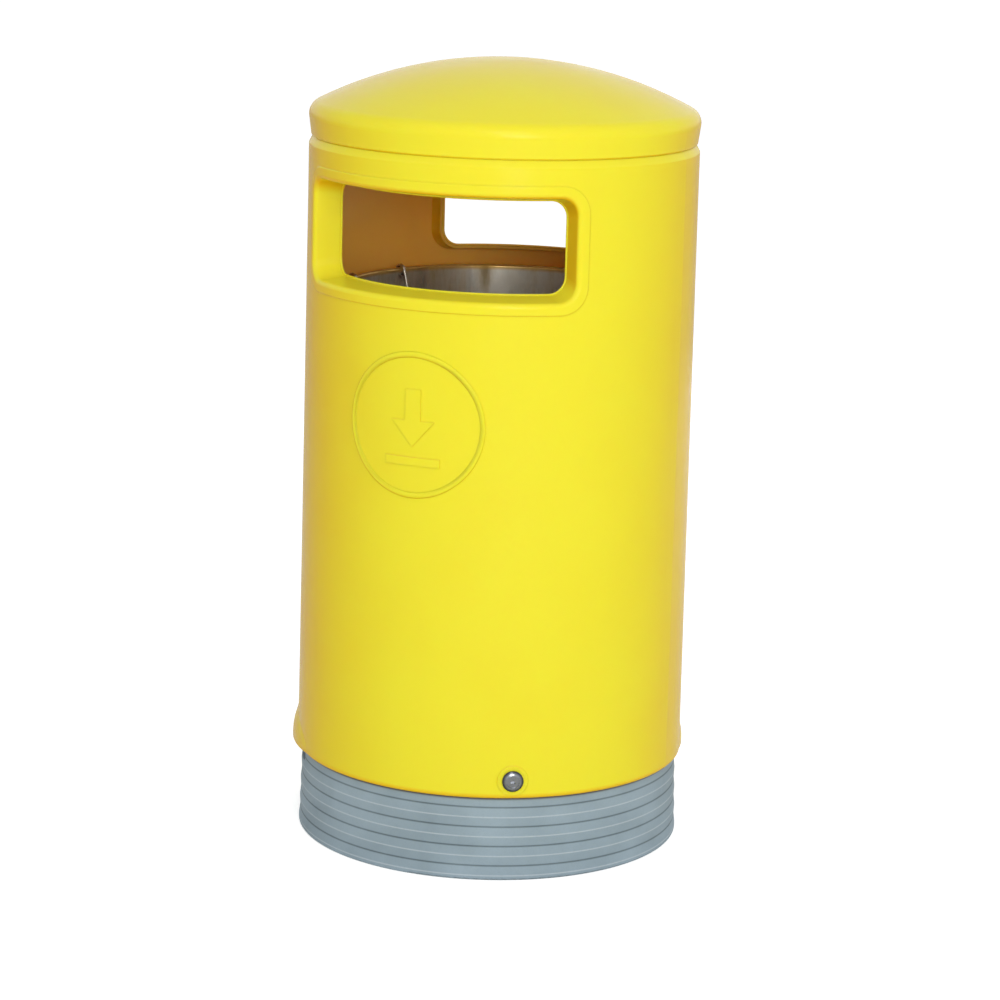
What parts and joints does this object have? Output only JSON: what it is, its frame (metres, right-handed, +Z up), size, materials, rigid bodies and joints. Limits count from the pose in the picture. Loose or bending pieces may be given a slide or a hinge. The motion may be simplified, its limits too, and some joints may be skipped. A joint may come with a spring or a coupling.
{
  "type": "hooded litter bin",
  "caption": "Round outdoor litter bin: lift-off moulded shell with two opposite mouths and a domed hood, ribbed weighted base and a wire-handled metal liner.",
  "frame": {"origin": "centre of the base's underside, on the floor, in the middle of the ground-bolt circle", "axes": "+Z up along the bin's axis; the mouth with the roundel below it faces -Y and the other mouth +Y; +X to the right seen from the front"},
  "size_m": [0.5248, 0.5179, 1.0345],
  "materials": {
    "grey_moulding": "moulded polyethylene, blue-grey, satin",
    "concrete": "cast concrete",
    "zinc_steel": "zinc plated",
    "galvanised_sheet": "galvanised sheet, dulled",
    "steel_wire": "galvanised wire",
    "yellow_moulding": "moulded polyethylene, yellow, semi-gloss",
    "brass_insert": "machined",
    "chromed_zinc": "polished chrome",
    "black_rubber": "soft rubber"
  },
  "bodies": {
    "base": {"base_moulding": "grey_moulding", "ballast_block": "concrete", "ballast_bolts": "zinc_steel", "ballast_washers": "zinc_steel", "ballast_nuts": "zinc_steel", "lock_keep": "zinc_steel", "keep_rivets": "zinc_steel"},
    "liner": {"liner_wall": "galvanised_sheet", "liner_floor": "galvanised_sheet", "liner_rim_wire": "steel_wire", "liner_rivets": "zinc_steel"},
    "handle_left": {"liner_handle_left": "steel_wire"},
    "handle_right": {"liner_handle_right": "steel_wire"},
    "shell": {"body_shell": "yellow_moulding", "hood": "yellow_moulding", "hood_inserts": "brass_insert", "hood_washers": "zinc_steel", "hood_bolts": "zinc_steel", "lock_housing": "chromed_zinc", "lock_gasket": "black_rubber", "lock_nut": "zinc_steel"},
    "lock": {"lock_plug": "chromed_zinc", "lock_cam": "zinc_steel", "cam_nut": "zinc_steel"}
  },
  "joints": [
    {"name": "liner_lift", "type": "slide", "parent": "base", "child": "liner", "axis": [0, 0, 1], "range_m": [0, 0.62]},
    {"name": "body_lift", "type": "slide", "parent": "liner", "child": "shell", "axis": [0, 0, 1], "range_m": [0, 1]},
    {"name": "lock_turn", "type": "hinge", "parent": "shell", "child": "lock", "pos_m": [0.12576, -0.20441, 0.1356], "axis": [0.524, -0.8517, 0], "range_deg": [0, 90]},
    {"name": "handle_left_swing", "type": "hinge", "parent": "liner", "child": "handle_left", "pos_m": [-0.19907, 0.03117, 0.7298], "axis": [-0.1547, -0.988, 0], "range_deg": [0, 150]},
    {"name": "handle_right_swing", "type": "hinge", "parent": "liner", "child": "handle_right", "pos_m": [0.19907, -0.03117, 0.7298], "axis": [0.1547, 0.988, 0], "range_deg": [0, 150]}
  ]
}
